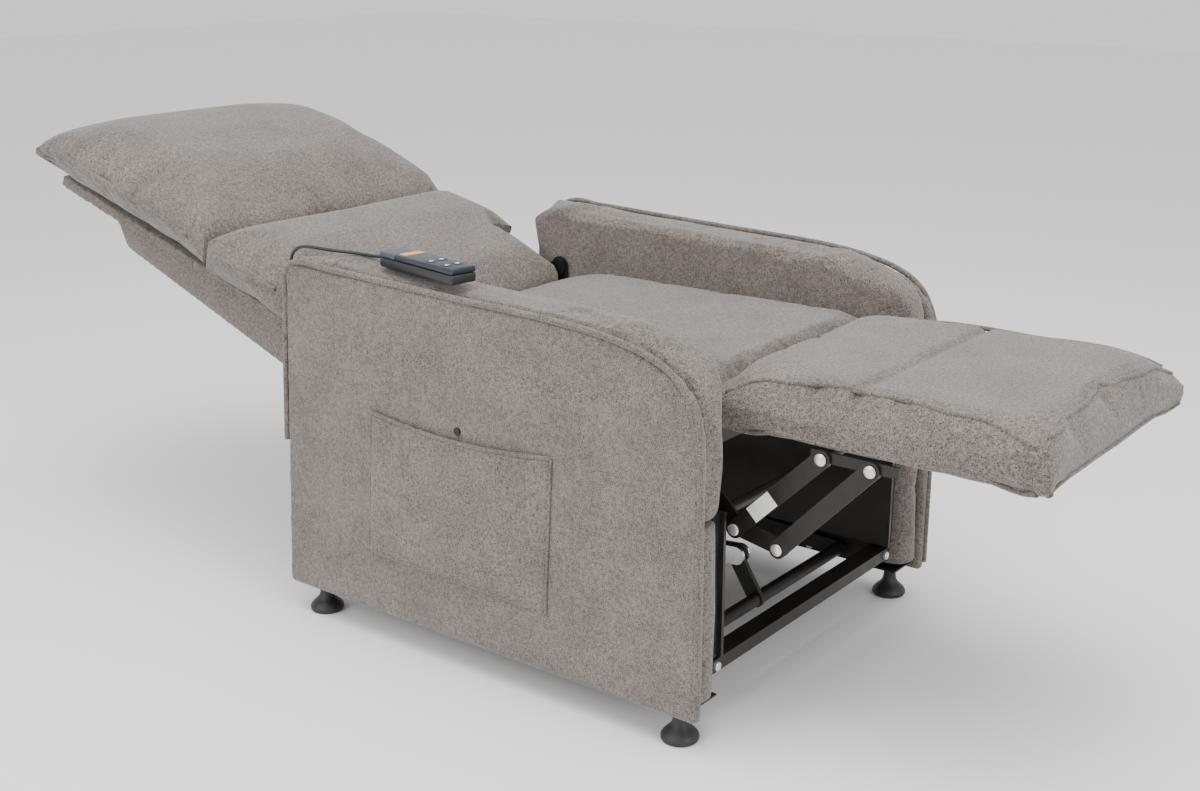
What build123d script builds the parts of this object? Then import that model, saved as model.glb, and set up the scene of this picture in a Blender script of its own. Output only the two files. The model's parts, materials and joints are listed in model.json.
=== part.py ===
from build123d import *

import os
from math import atan2, cos, degrees, hypot, radians, sin, tan

# Lift recliner chair, in millimetres. +Z is up, the sitter faces -Y, and the sitter's right is -X.
# Most side views are drawn on planes whose first number is the depth behind the front of the arms
# and whose second is the height above the floor.

os.makedirs("parts", exist_ok=True)

# ---- Driving dimensions -------------------------------------------------------------------
chair_width = 700.0
arm_width = 100.0
arm_front = -558.0  # Y of the front of the arms
arm_depth = 823.0  # at the bottom
arm_top_depth = 790.0  # the rear edge leans forward
arm_bottom = 48.0
arm_rear_height = 600.0  # height of the welt
arm_crown = 14.0  # how far the padded top stands above the welt
panel = 20.0  # upholstered outer board
seat_half = 247.0
seat_front = 62.0
seat_rear = 690.0
seat_under = 431.0
seat_height = 500.0
clearance = 0.3  # between soft faces
hinge_gap = 0.05  # radial, pin in link
steel = 4.0  # thickness of links and side plates

foot_height = 59.0
foot_radius = 28.0
foot_neck = 11.0
foot_side = 317.0
front_foot = 47.0
rear_foot = 771.0

rail_inner = 272.0
rail_width = 20.0
rail_low = 62.0
rail_high = 102.0
rail_front = 74.0
rail_rear = 800.0
wall = 2.0

# Pivots as (depth, height).
front_link_foot = (120.0, 82.0)
front_link_length = 260.0
front_link_angle = 3.0
rear_link_foot = (201.3, 82.0)
rear_link_head = (640.0, 96.0)
lift_lug_radius = 80.0
lift_lug_angle = 57.5
lift_motor_foot = (730.0, 100.0)
recline_pivot = (715.0, 500.0)
recline_slope = 17.0  # of the backrest above the horizontal, lying back
recline_lug_radius = 130.0
recline_lug_angle = -121.0
back_motor_foot = (240.0, 300.0)
legrest_pivot = (-50.0, 507.0)
main_link_pivot = (82.0, 373.0)
knee_rear = (14.0, 303.0)
knee_front = (-56.0, 290.0)
bracket_rear = (-118.0, 434.0)
bracket_front = (-191.0, 433.0)

# Distances from the middle of the chair to the inner face of each layer of steel.
side_plate_layer = 221.0
main_link_layer = 227.0
bracket_layer = 232.0
outer_link_layer = 236.5
board_layer = 250.5
lift_plate_layer = 256.8
front_link_layer = 262.0
rear_link_layer = 267.2

sides = (("right", -1.0), ("left", 1.0))


def polar(origin, radius, angle):
    return (origin[0] + radius * cos(radians(angle)), origin[1] + radius * sin(radians(angle)))


def side_plane(x):
    return Plane(origin=(x, arm_front, 0), x_dir=(0, 1, 0), z_dir=(1, 0, 0))


def front_plane(depth):
    return Plane(origin=(0, arm_front + depth, 0), x_dir=(1, 0, 0), z_dir=(0, -1, 0))


def back_plane(x):
    """Side view of the backrest: first number up along it, second towards the sitter."""
    slope = radians(recline_slope)
    origin = (x, arm_front + recline_pivot[0], recline_pivot[1])
    return Plane(origin=origin, x_dir=(0, cos(slope), sin(slope)), z_dir=(1, 0, 0))


def axis_plane(start, end):
    """Plane across the line between two pivots, in the chair's middle."""
    run = hypot(end[0] - start[0], end[1] - start[1])
    direction = (0, (end[0] - start[0]) / run, (end[1] - start[1]) / run)
    return Plane(origin=(0, arm_front + start[0], start[1]), x_dir=(1, 0, 0), z_dir=direction)


def bar_outline(start, end, width):
    run = hypot(end[0] - start[0], end[1] - start[1])
    turn = degrees(atan2(end[1] - start[1], end[0] - start[0]))
    middle = ((start[0] + end[0]) / 2, (start[1] + end[1]) / 2)
    with Locations(middle):
        SlotCenterToCenter(run, width, rotation=turn)


def save(piece, name):
    piece.part.label = name
    export_step(piece.part, f"parts/{name}.step")


# ---- Base on the floor ----------------------------------------------------------------------
pin_radius = 6.0
head_radius = 9.0
for side, sign in sides:
    # Side rail: square tube with its two lift pins welded to the inner wall.
    with BuildPart() as base_rail:
        middle = sign * (rail_inner + rail_width / 2)
        with BuildSketch(front_plane(rail_front)):
            with Locations((middle, (rail_low + rail_high) / 2)):
                Rectangle(rail_width, rail_high - rail_low)
                Rectangle(rail_width - 2 * wall, rail_high - rail_low - 2 * wall, mode=Mode.SUBTRACT)
        extrude(amount=-(rail_rear - rail_front))
        with BuildSketch(side_plane(sign * rail_inner)):
            with Locations(front_link_foot, rear_link_foot):
                Circle(pin_radius)
        extrude(amount=-sign * (rail_inner - rear_link_layer + 0.3))
        with BuildSketch(side_plane(sign * (rear_link_layer - 0.1))):
            with Locations(rear_link_foot):
                Circle(head_radius)
        extrude(amount=-sign * 0.8)
        with BuildSketch(side_plane(sign * rear_link_layer)):
            with Locations(front_link_foot):
                Circle(pin_radius)
        extrude(amount=-sign * (rear_link_layer - front_link_layer - 0.1))
    save(base_rail, f"{side}_base_rail")

crossbar_low = 85.0
crossbar_high = 105.0
crossbar_front = 28.0
crossbar_depth = 32.0
with BuildPart() as front_crossbar:
    with BuildSketch(side_plane(-rail_inner)):
        with Locations((crossbar_front + crossbar_depth / 2, (crossbar_low + crossbar_high) / 2)):
            Rectangle(crossbar_depth, crossbar_high - crossbar_low)
            Rectangle(crossbar_depth - 2 * wall, crossbar_high - crossbar_low - 2 * wall, mode=Mode.SUBTRACT)
    extrude(amount=2 * rail_inner)
    # A plate at each end carries the bar back to its side rail.
    for side, sign in sides:
        with BuildSketch(side_plane(sign * rail_inner)):
            with Locations((crossbar_front + crossbar_depth / 2 + 12, (crossbar_low + crossbar_high) / 2)):
                Rectangle(crossbar_depth + 24, crossbar_high - crossbar_low - 4)
        extrude(amount=sign * -3.0)
save(front_crossbar, "front_crossbar")

rear_bar_front = 758.0
rear_bar_depth = 30.0
lug_gap = 14.0
lug_plate = 4.0
with BuildPart() as rear_crossbar:
    with BuildSketch(side_plane(-rail_inner)):
        with Locations((rear_bar_front + rear_bar_depth / 2, 84)):
            Rectangle(rear_bar_depth, 28)
            Rectangle(rear_bar_depth - 2 * wall, 28 - 2 * wall, mode=Mode.SUBTRACT)
    extrude(amount=2 * rail_inner)
    # Two lugs carry the lift motor's rear pin.
    for side, sign in sides:
        with BuildSketch(side_plane(sign * lug_gap)):
            bar_outline(lift_motor_foot, (rear_bar_front + 6, 90.0), 24)
            with Locations((rear_bar_front + rear_bar_depth / 2, 84)):
                Rectangle(rear_bar_depth, 28, mode=Mode.SUBTRACT)
        extrude(amount=sign * lug_plate)
    with BuildSketch(side_plane(-lug_gap)):
        with Locations(lift_motor_foot):
            Circle(5)
    extrude(amount=2 * lug_gap)
save(rear_crossbar, "rear_crossbar")

# Feet: moulded trumpets, one under each end of the side rails.
for side, sign in sides:
    for end, depth in (("front", front_foot), ("rear", rear_foot)):
        with BuildPart() as foot:
            with BuildSketch(Plane(origin=(sign * foot_side, arm_front + depth, 0), x_dir=(1, 0, 0), z_dir=(0, -1, 0))):
                with BuildLine():
                    Polyline((0, 0), (foot_radius - 2, 0), (foot_radius, 3), (foot_radius, 7))
                    Spline((foot_radius, 7), (foot_neck + 4, 22), (foot_neck, foot_height),
                           tangents=((-0.45, 1), (0, 1)))
                    Polyline((foot_neck, foot_height), (0, foot_height), (0, 0))
                make_face()
            revolve(axis=Axis((sign * foot_side, arm_front + depth, 0), (0, 0, 1)))
        save(foot, f"{end}_{side}_foot")

# Plates that reach from the rails out to the feet.
bracket_plate = 2.8
with BuildPart() as foot_brackets:
    for side, sign in sides:
        for depth in (front_foot, rear_foot):
            reach = 328.5 - rail_inner
            with BuildSketch(Plane.XY.offset(foot_height)):
                with Locations((sign * (rail_inner + reach / 2), arm_front + depth)):
                    Rectangle(reach, 62)
            extrude(amount=bracket_plate)
save(foot_brackets, "foot_brackets")

bolt_head = 7.0
with BuildPart() as frame_bolts:
    for side, sign in sides:
        with BuildSketch(front_plane(crossbar_front)):
            with Locations((sign * 256, (crossbar_low + crossbar_high) / 2)):
                Circle(bolt_head)
        extrude(amount=4.0)
        with BuildSketch(side_plane(sign * rail_inner)):
            with Locations((180, 70), (700, 70)):
                Circle(bolt_head - 1)
        extrude(amount=-sign * 3.5)
save(frame_bolts, "frame_bolts")

# ---- Lift linkage ---------------------------------------------------------------------------
front_link_head = polar(front_link_foot, front_link_length, front_link_angle)
lift_lug = polar(front_link_foot, lift_lug_radius, lift_lug_angle)
link_width = 26.0
with BuildPart() as front_lift_frame:
    for side, sign in sides:
        with BuildSketch(side_plane(sign * front_link_layer)):
            bar_outline(front_link_foot, front_link_head, link_width)
            with Locations(front_link_foot, front_link_head):
                Circle(pin_radius + hinge_gap, mode=Mode.SUBTRACT)
        extrude(amount=sign * steel)
    # Torque tube on the same axis as the front pins; the lug in its middle takes the motor's push.
    tube_half_length = front_link_layer - 0.1
    with BuildSketch(side_plane(-tube_half_length)):
        with Locations(front_link_foot):
            Circle(11)
    extrude(amount=2 * tube_half_length)
    with BuildSketch(side_plane(-4)):
        bar_outline(front_link_foot, lift_lug, 26)
    extrude(amount=8)
    with BuildSketch(side_plane(-5)):
        with Locations(lift_lug):
            Circle(7)
    extrude(amount=10)
save(front_lift_frame, "front_lift_frame")

with BuildPart() as rear_lift_links:
    for side, sign in sides:
        with BuildSketch(side_plane(sign * rear_link_layer)):
            bar_outline(rear_link_foot, rear_link_head, link_width)
            with Locations(rear_link_foot):
                Circle(pin_radius + hinge_gap, mode=Mode.SUBTRACT)
        extrude(amount=sign * steel)
save(rear_lift_links, "rear_lift_links")


fork_length = 42.0  # from the back of the rod's fork to the lug it holds


def build_motor(name, foot, lug, tube_end, rod_start):
    """Linear actuator: gear housing with its rear eye, outer tube, and a rod that ends in a fork."""
    run = hypot(lug[0] - foot[0], lug[1] - foot[1])
    axis = axis_plane(foot, lug)
    with BuildPart() as motor:
        with BuildSketch(side_plane(-lug_gap + 1)):
            with Locations(foot):
                Circle(13)
        extrude(amount=2 * (lug_gap - 1))
        with BuildSketch(axis.offset(10)):
            RectangleRounded(2 * (lug_gap - 1), 24, 3)
        extrude(amount=20)
        with BuildSketch(axis.offset(24)):
            RectangleRounded(58, 66, 9)
        extrude(amount=64)
        # The motor itself hangs beside the gearbox.
        with BuildSketch(axis.offset(30)):
            with Locations((52, 0)):
                Circle(24)
        extrude(amount=110)
        with BuildSketch(side_plane(-lug_gap)):
            with Locations(foot):
                Circle(5 + hinge_gap)
        extrude(amount=2 * lug_gap, mode=Mode.SUBTRACT)
    save(motor, f"{name}_motor")
    with BuildPart() as tube:
        with BuildSketch(axis.offset(88)):
            Circle(17)
            Circle(10 + hinge_gap, mode=Mode.SUBTRACT)
        extrude(amount=tube_end - 88)
    save(tube, f"{name}_outer_tube")
    with BuildPart() as rod:
        with BuildSketch(axis.offset(rod_start)):
            Circle(10)
        extrude(amount=run - fork_length - rod_start)
        with BuildSketch(axis.offset(run - fork_length)):
            RectangleRounded(24, 30, 3)
        extrude(amount=10)
        for side, sign in sides:
            with BuildSketch(side_plane(sign * 6)):
                near_end = axis_point(foot, lug, run - fork_length + 4)
                bar_outline(near_end, axis_point(foot, lug, run + 8), 30)
            extrude(amount=sign * 5)
    save(rod, f"{name}_push_rod")


def axis_point(start, end, distance):
    run = hypot(end[0] - start[0], end[1] - start[1])
    return (start[0] + (end[0] - start[0]) * distance / run, start[1] + (end[1] - start[1]) * distance / run)


build_motor("lift", lift_motor_foot, lift_lug, 330.0, 112.0)

# ---- Seat frame -----------------------------------------------------------------------------
plate_low = 345.0
plate_high = 428.0
rail_rows = ((90.0, 414.0), (612.0, 414.0))
for side, sign in sides:
    # Pressed steel side plate, with the pin of the legrest's main link and an arm to the recline hinge.
    with BuildPart() as side_plate:
        with BuildSketch(side_plane(sign * side_plate_layer)):
            with Locations(((seat_front + 700) / 2, (plate_low + plate_high) / 2)):
                RectangleRounded(700 - seat_front, plate_high - plate_low, 12)
        extrude(amount=sign * steel)
        with BuildSketch(side_plane(sign * (side_plate_layer + steel))):
            with Locations(main_link_pivot):
                Circle(pin_radius)
        extrude(amount=sign * (main_link_layer + steel + 0.3 - side_plate_layer - steel))
        with BuildSketch(side_plane(sign * (main_link_layer + steel + 0.2))):
            with Locations(main_link_pivot):
                Circle(head_radius)
        extrude(amount=sign * 2.0)
    save(side_plate, f"{side}_side_plate")

# Hinge plates of the backrest: bolted to the arm boards, they stand up beside the cushion.
with BuildPart() as recline_hinges:
    for side, sign in sides:
        with BuildSketch(side_plane(sign * 244.5)):
            bar_outline((712, 310), recline_pivot, 36)
        extrude(amount=sign * 3.5)
        with BuildSketch(side_plane(sign * 248)):
            with Locations((716, 308)):
                RectangleRounded(50, 42, 5)
        extrude(amount=sign * (board_layer - 248))
        with BuildSketch(side_plane(sign * 244.5)):
            with Locations(recline_pivot):
                Circle(pin_radius)
        extrude(amount=-sign * (244.5 - 238.5))
        with BuildSketch(side_plane(sign * 238.5)):
            with Locations(recline_pivot):
                Circle(head_radius)
        extrude(amount=-sign * 1.2)
save(recline_hinges, "recline_hinges")

tube_half = side_plate_layer
for name, spot in (("front_seat_rail", rail_rows[0]), ("rear_seat_rail", rail_rows[1])):
    with BuildPart() as seat_rail:
        with BuildSketch(side_plane(-tube_half)):
            with Locations(spot):
                Rectangle(28, 24)
                Rectangle(28 - 2 * wall, 24 - 2 * wall, mode=Mode.SUBTRACT)
        extrude(amount=2 * tube_half)
    save(seat_rail, name)

with BuildPart() as cross_tubes:
    for spot in ((210.0, 356.0), (420.0, 398.0)):
        with BuildSketch(side_plane(-tube_half)):
            with Locations(spot):
                Rectangle(20, 20)
        extrude(amount=2 * tube_half)
    # Lugs for the recline motor hang from the front tube.
    for side, sign in sides:
        with BuildSketch(side_plane(sign * lug_gap)):
            bar_outline((214.0, 350.0), back_motor_foot, 26)
            with Locations((210.0, 356.0)):
                Rectangle(20, 20, mode=Mode.SUBTRACT)
        extrude(amount=sign * lug_plate)
    with BuildSketch(side_plane(-lug_gap)):
        with Locations(back_motor_foot):
            Circle(5)
    extrude(amount=2 * lug_gap)
save(cross_tubes, "cross_tubes")

# Zigzag springs from the front seat rail to the rear one.
spring_wire = 2.0
spring_rows = 5
spring_turns = 11
spring_swing = 24.0
spring_height = seat_under - 2.6
with BuildPart() as seat_springs:
    for row in range(spring_rows):
        centre = (row - (spring_rows - 1) / 2) * 84
        step = (rail_rows[1][0] - rail_rows[0][0]) / (spring_turns + 1)
        points = [(centre, arm_front + rail_rows[0][0], spring_height)]
        for turn in range(spring_turns):
            swing = spring_swing if turn % 2 else -spring_swing
            depth = rail_rows[0][0] + step * (turn + 1)
            points.append((centre + swing, arm_front + depth - 8, spring_height))
            points.append((centre + swing, arm_front + depth + 8, spring_height))
        points.append((centre, arm_front + rail_rows[1][0], spring_height))
        with BuildLine() as zigzag:
            FilletPolyline(*points, radius=7)
        with BuildSketch(Plane(origin=zigzag.line @ 0, z_dir=zigzag.line % 0)):
            Circle(spring_wire)
        sweep(path=zigzag.line)
save(seat_springs, "seat_springs")

with BuildPart() as seat_cushion:
    with BuildSketch(side_plane(-seat_half)):
        with BuildLine():
            Polyline((seat_front, seat_under), (seat_front, seat_height - 14), (seat_front + 26, seat_height),
                     (560, seat_height - 4), (640, seat_height - 16), (seat_rear, seat_height - 36),
                     (seat_rear, seat_under), (seat_front, seat_under))
        make_face()
    extrude(amount=2 * seat_half)
save(seat_cushion, "seat_cushion")

# The flap joins the seat to the legrest. Its free end and the legrest's pad are cut at 45 degrees
# through the legrest's axis, so that they fold against each other and never overlap.
pad_under = 445.0
pad_over = 519.0
pad_half = 246.0
miter = legrest_pivot[1] - pad_under
with BuildPart() as seat_flap:
    with BuildSketch(side_plane(-pad_half)):
        with BuildLine():
            Polyline((seat_front - clearance, pad_under), (seat_front - clearance, seat_height - 14),
                     (seat_front - 24, legrest_pivot[1] + 4), (legrest_pivot[0] + 0.5, pad_over - 6),
                     (legrest_pivot[0] + 0.5, legrest_pivot[1]), (legrest_pivot[0] + miter + 0.5, pad_under),
                     (seat_front - clearance, pad_under))
        make_face()
    extrude(amount=2 * pad_half)
    # The lower corners are cut away where the folded legrest's brackets come up beside the foam.
    for side, sign in sides:
        with BuildSketch(side_plane(sign * (bracket_layer - 3))):
            with Locations((15, pad_under)):
                Rectangle(110, 32)
        extrude(amount=sign * 20, mode=Mode.SUBTRACT)
save(seat_flap, "seat_flap")

# ---- Arms -----------------------------------------------------------------------------------
arm_inner = chair_width / 2 - arm_width
panel_inner = chair_width / 2 - panel
top_pad_low = 331.0


def arm_outline(x, inset, crown, low):
    """Side view of an arm: straight rear edge, flat top and a rounded front corner."""
    top = arm_rear_height + crown
    rear = arm_top_depth + (arm_depth - arm_top_depth) * (top - low) / (top - arm_bottom)
    with BuildSketch(side_plane(x)) as outline:
        with BuildLine():
            Polyline((inset, low), (inset, 425))
            Spline((inset, 425), (inset + 34, top - 66), (128, top - 27), (250, top - 14),
                   tangents=((0, 1), (1, 0.06)))
            Polyline((250, top - 14), (540, top - 6), (arm_top_depth - inset, top))
            Polyline((arm_top_depth - inset, top), (rear - inset, low), (inset, low))
        make_face()
    return outline.sketch


for side, sign in sides:
    with BuildPart() as outer_panel:
        extrude(arm_outline(sign * (panel_inner + clearance), 0, 0, arm_bottom), amount=sign * (panel - clearance))
        fillet(outer_panel.faces().sort_by(Axis.X)[0 if sign < 0 else -1].edges(), 3)
    save(outer_panel, f"{side}_arm_panel")

    # Padded top of the arm, narrowed towards the front on its inner side.
    with BuildPart() as arm_top:
        extrude(arm_outline(sign * arm_inner, 4, arm_crown, top_pad_low), amount=sign * (panel_inner - arm_inner))
        with BuildSketch(Plane.XY.offset(top_pad_low - 1)):
            with BuildLine():
                Polyline((sign * (arm_inner - 1), arm_front), (sign * (panel_inner - 20), arm_front),
                         (sign * (arm_inner + 18), arm_front + 16), (sign * (arm_inner - 1), arm_front + 46),
                         (sign * (arm_inner - 1), arm_front))
            make_face()
        extrude(amount=400, mode=Mode.SUBTRACT)
    save(arm_top, f"{side}_arm_top_pad")

    # Padded front roll below the top pad.
    with BuildPart() as arm_roll:
        with BuildSketch(Plane.XY.offset(68)):
            with BuildLine():
                Polyline((sign * panel_inner, arm_front + 70), (sign * panel_inner, arm_front + 4),
                         (sign * (panel_inner - 26), arm_front + 4), (sign * 284, arm_front + 16),
                         (sign * 276, arm_front + 34), (sign * 276, arm_front + 70),
                         (sign * panel_inner, arm_front + 70))
            make_face()
        extrude(amount=top_pad_low - clearance - 68)
    save(arm_roll, f"{side}_arm_front_roll")

    with BuildPart() as inner_board:
        with BuildSketch(side_plane(sign * board_layer)):
            with BuildLine():
                Polyline((20, 112), (20, top_pad_low - clearance), (796, top_pad_low - clearance),
                         (806, 160), (760, 112), (20, 112))
            make_face()
        extrude(amount=sign * 6.0)
    save(inner_board, f"{side}_arm_board")

    # Steel lift plate screwed to the hidden face of the board, with ears for the lift links.
    with BuildPart() as lift_plate:
        with BuildSketch(side_plane(sign * lift_plate_layer)):
            with Locations((510, 128)):
                Rectangle(400, 32)
            bar_outline(front_link_head, (front_link_head[0], 125.0), 30)
            bar_outline(rear_link_head, (rear_link_head[0], 125.0), 30)
        extrude(amount=sign * 3.7)
        with BuildSketch(side_plane(sign * (lift_plate_layer + 3.7))):
            with Locations(front_link_head, rear_link_head):
                Circle(pin_radius)
        extrude(amount=sign * (front_link_layer + steel + 0.2 - lift_plate_layer - 3.7))
        with BuildSketch(side_plane(sign * (front_link_layer + steel + 0.1))):
            with Locations(front_link_head):
                Circle(head_radius)
        extrude(amount=sign * 0.8)
    save(lift_plate, f"{side}_lift_plate")

with BuildPart() as front_posts:
    for side, sign in sides:
        with BuildSketch(Plane.XY.offset(112)):
            with Locations((sign * 266, arm_front + 42)):
                Rectangle(18, 30)
        extrude(amount=top_pad_low - clearance - 112)
save(front_posts, "front_posts")

# Side pocket: a flat cloth bag sewn to the right arm along its two sides and its bottom.
pocket_front = 252.0
pocket_rear = 618.0
pocket_low = 147.0
pocket_high = 382.0
pocket_gap = 7.0
cloth = 3.0
with BuildPart() as side_pocket:
    with BuildSketch(side_plane(-(chair_width / 2))):
        with BuildLine():
            Polyline((pocket_front, pocket_high), (pocket_front + 10, pocket_low), (pocket_rear, pocket_low + 4),
                     (pocket_rear - 4, pocket_high), (pocket_front, pocket_high))
        make_face()
    extrude(amount=-(pocket_gap + cloth))
    with BuildSketch(side_plane(-(chair_width / 2))):
        with BuildLine():
            Polyline((pocket_front + 8, pocket_high + 1), (pocket_front + 18, pocket_low + 8),
                     (pocket_rear - 10, pocket_low + 12), (pocket_rear - 14, pocket_high + 1),
                     (pocket_front + 8, pocket_high + 1))
        make_face()
    extrude(amount=-pocket_gap, mode=Mode.SUBTRACT)
save(side_pocket, "side_pocket")

with BuildPart() as pocket_snap:
    with BuildSketch(side_plane(-(chair_width / 2))):
        with Locations((430, 392)):
            Circle(6)
    extrude(amount=-3)
save(pocket_snap, "pocket_snap")

# ---- Handset and its cord -------------------------------------------------------------------
handset_length = 180.0
handset_width = 46.0
handset_turn = 10.0
handset_middle = (-308.0, arm_front + 522.0)
lower_case = 15.0
upper_case = 9.0


def handset_plane(height):
    turn = radians(handset_turn)
    origin = (handset_middle[0], handset_middle[1], height)
    return Plane(origin=origin, x_dir=(sin(turn), cos(turn), 0), z_dir=(0, 0, 1))


handset_base = 610.0
with BuildPart() as handset_lower:
    with BuildSketch(handset_plane(handset_base)):
        RectangleRounded(handset_length, handset_width, 7)
    extrude(amount=lower_case)
    fillet(handset_lower.faces().sort_by(Axis.Z)[0].edges(), 3)
save(handset_lower, "handset_lower_case")

button_spots = ((-62.0, 10.0), (-62.0, -10.0), (-24.0, 10.0), (-24.0, -10.0))
button_half = 7.0
button_travel = 1.2
with BuildPart() as handset_upper:
    with BuildSketch(handset_plane(handset_base + lower_case)):
        RectangleRounded(handset_length, handset_width, 7)
    extrude(amount=upper_case)
    fillet(handset_upper.faces().sort_by(Axis.Z)[-1].edges(), 2)
    with BuildSketch(handset_plane(handset_base + lower_case + upper_case - 4)):
        with Locations(*button_spots):
            Rectangle(2 * button_half, 2 * button_half)
    extrude(amount=5, mode=Mode.SUBTRACT)
save(handset_upper, "handset_upper_case")

button_names = ("back_up", "back_down", "legrest_up", "legrest_down")
for name, spot in zip(button_names, button_spots):
    with BuildPart() as button:
        with BuildSketch(handset_plane(handset_base + lower_case + upper_case - 4 + button_travel + 0.2)):
            with Locations(spot):
                RectangleRounded(2 * button_half - 0.6, 2 * button_half - 0.6, 2)
        extrude(amount=4.4 - button_travel)
    save(button, f"{name}_button")

# The cord leaves the handset's rear end, crosses the top of the arm and drops behind it.
cord_radius = 2.6
cord_exit = handset_plane(handset_base + 8).from_local_coords((handset_length / 2, 0, 0))
cord_straight = handset_plane(handset_base + 8).from_local_coords((handset_length / 2 + 22, 0, 0))
cord_route = [
    (cord_exit.X, cord_exit.Y, cord_exit.Z),
    (cord_straight.X, cord_straight.Y, cord_straight.Z),
    (-286.0, arm_front + 658.0, 615.5),
    (-290.0, arm_front + 684.0, 617.0),
    (-299.0, arm_front + 710.0, 618.0),
    (-309.0, arm_front + 738.0, 619.5),
    (-316.0, arm_front + 766.0, 622.0),
    (-319.0, arm_front + 790.0, 619.0),
    (-318.0, arm_front + 808.0, 606.0),
    (-315.0, arm_front + 816.0, 584.0),
    (-311.0, arm_front + 820.0, 556.0),
    (-307.0, arm_front + 822.0, 522.0),
    (-302.0, arm_front + 824.0, 486.0),
    (-296.0, arm_front + 827.0, 448.0),
    (-290.0, arm_front + 829.0, 408.0),
    (-285.0, arm_front + 830.0, 366.0),
    (-284.0, arm_front + 831.0, 330.0),
    (-282.0, arm_front + 830.5, 304.0),
    (-279.0, arm_front + 829.0, 283.0),
    (-276.0, arm_front + 821.5, 266.0),
    (-273.5, arm_front + 807.0, 257.0),
    (-273.5, arm_front + 790.0, 257.0),
]


def route_radii(points):
    """Radius of each corner: 0.45 of its shorter run over the tangent of half its turn."""
    radii = []
    for before, corner, after in zip(points, points[1:], points[2:]):
        run_in = Vector(*corner) - Vector(*before)
        run_out = Vector(*after) - Vector(*corner)
        half_turn = radians(run_in.get_angle(run_out)) / 2
        radii.append(0.45 * min(run_in.length, run_out.length) / tan(half_turn))
    return radii


cord_radii = route_radii(cord_route)
with BuildPart() as handset_cord:
    with BuildLine() as route:
        FilletPolyline(*cord_route, radius=cord_radii)
    with BuildSketch(Plane(origin=route.line @ 0, z_dir=route.line % 0)):
        Circle(cord_radius)
    sweep(path=route.line)
save(handset_cord, "handset_cord")
print("cord radii", [round(radius, 1) for radius in cord_radii])
print("cord length", round(route.wires()[0].length, 1))
print("cord volume", round(handset_cord.part.volume), "section x length",
      round(3.14159265 * cord_radius ** 2 * route.wires()[0].length))

# Control box behind the right arm board, with the socket for the mains lead.
box_low = 180.0
box_depth = 700.0
with BuildPart() as control_box:
    with BuildSketch(side_plane(-257)):
        with Locations((box_depth + 45, box_low + 60)):
            RectangleRounded(90, 120, 6)
    extrude(amount=-33)
    with BuildSketch(front_plane(box_depth + 90)):
        with Locations((-273.5, box_low + 26)):
            Rectangle(20, 28)
    extrude(amount=12, mode=Mode.SUBTRACT)
save(control_box, "control_box")

with BuildPart() as mains_inlet:
    with BuildSketch(front_plane(box_depth + 90)):
        with Locations((-273.5, box_low + 26)):
            Rectangle(19.6, 27.6)
    extrude(amount=12)
    with BuildSketch(front_plane(box_depth + 90)):
        with Locations((-273.5, box_low + 26)):
            Rectangle(13, 20)
    extrude(amount=8, mode=Mode.SUBTRACT)
save(mains_inlet, "mains_inlet")

# ---- Backrest -------------------------------------------------------------------------------
recline_lug = polar(recline_pivot, recline_lug_radius, recline_lug_angle)
flare_from = 145.0  # below this the back stands between the arms
back_narrow = 237.0
back_wide = 297.0
pillow_from = 353.0
pillow_end = 842.0
board_face = -100.0
board_half = 225.0


def back_to_side(along, out):
    slope = radians(recline_slope)
    return (recline_pivot[0] + along * cos(slope) - out * sin(slope),
            recline_pivot[1] + along * sin(slope) + out * cos(slope))


with BuildPart() as back_frame:
    with BuildSketch(back_plane(-board_half)):
        with Locations((405, board_face - 9)):
            Rectangle(830, 18)
    extrude(amount=2 * board_half)
    for side, sign in sides:
        # Hinge arm beside the cushion.
        with BuildSketch(back_plane(sign * 238.8)):
            bar_outline((0, 0), (70, board_face + 14), 30)
            with Locations((85, board_face - 9)):
                Rectangle(90, 40)
            with Locations((0, 0)):
                Circle(pin_radius + hinge_gap, mode=Mode.SUBTRACT)
        extrude(amount=sign * 3.4)
        with BuildSketch(back_plane(sign * board_half)):
            with Locations((90, board_face - 9)):
                Rectangle(100, 18)
        extrude(amount=sign * 14)
    # Lug for the recline motor's rod, under the board.
    with BuildSketch(side_plane(-4)):
        bar_outline(recline_lug, back_to_side(30, board_face - 30), 20)
        bar_outline(back_to_side(30, board_face - 30), back_to_side(74, board_face - 19), 24)
    extrude(amount=8)
    with BuildSketch(side_plane(-5)):
        with Locations(recline_lug):
            Circle(7)
    extrude(amount=10)
save(back_frame, "back_frame")

build_motor("recline", back_motor_foot, recline_lug, 250.0, 116.0)

with BuildPart() as back_shell:
    with BuildSketch(back_plane(-board_half - 12)):
        with BuildLine():
            under = board_face - 18 - clearance
            Polyline((96, under), (96, under - 70), (620, under - 38), (650, under - 6), (655, under), (96, under))
        make_face()
    extrude(amount=2 * (board_half + 12))
save(back_shell, "back_shell")

with BuildPart() as lumbar_cushion:
    with BuildSketch(back_plane(-back_wide)):
        with BuildLine():
            Polyline((-24, board_face + clearance), (-25, -24), (-10, 10), (60, 28), (200, 38), (320, 24),
                     (pillow_from - clearance, -4), (pillow_from - clearance, board_face + clearance),
                     (-24, board_face + clearance))
        make_face()
    extrude(amount=2 * back_wide)
    for side, sign in sides:
        with BuildSketch(back_plane(sign * back_narrow)):
            with Locations((flare_from - 150, 0)):
                Rectangle(300, 400)
        extrude(amount=sign * 100, mode=Mode.SUBTRACT)
save(lumbar_cushion, "lumbar_cushion")

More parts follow.
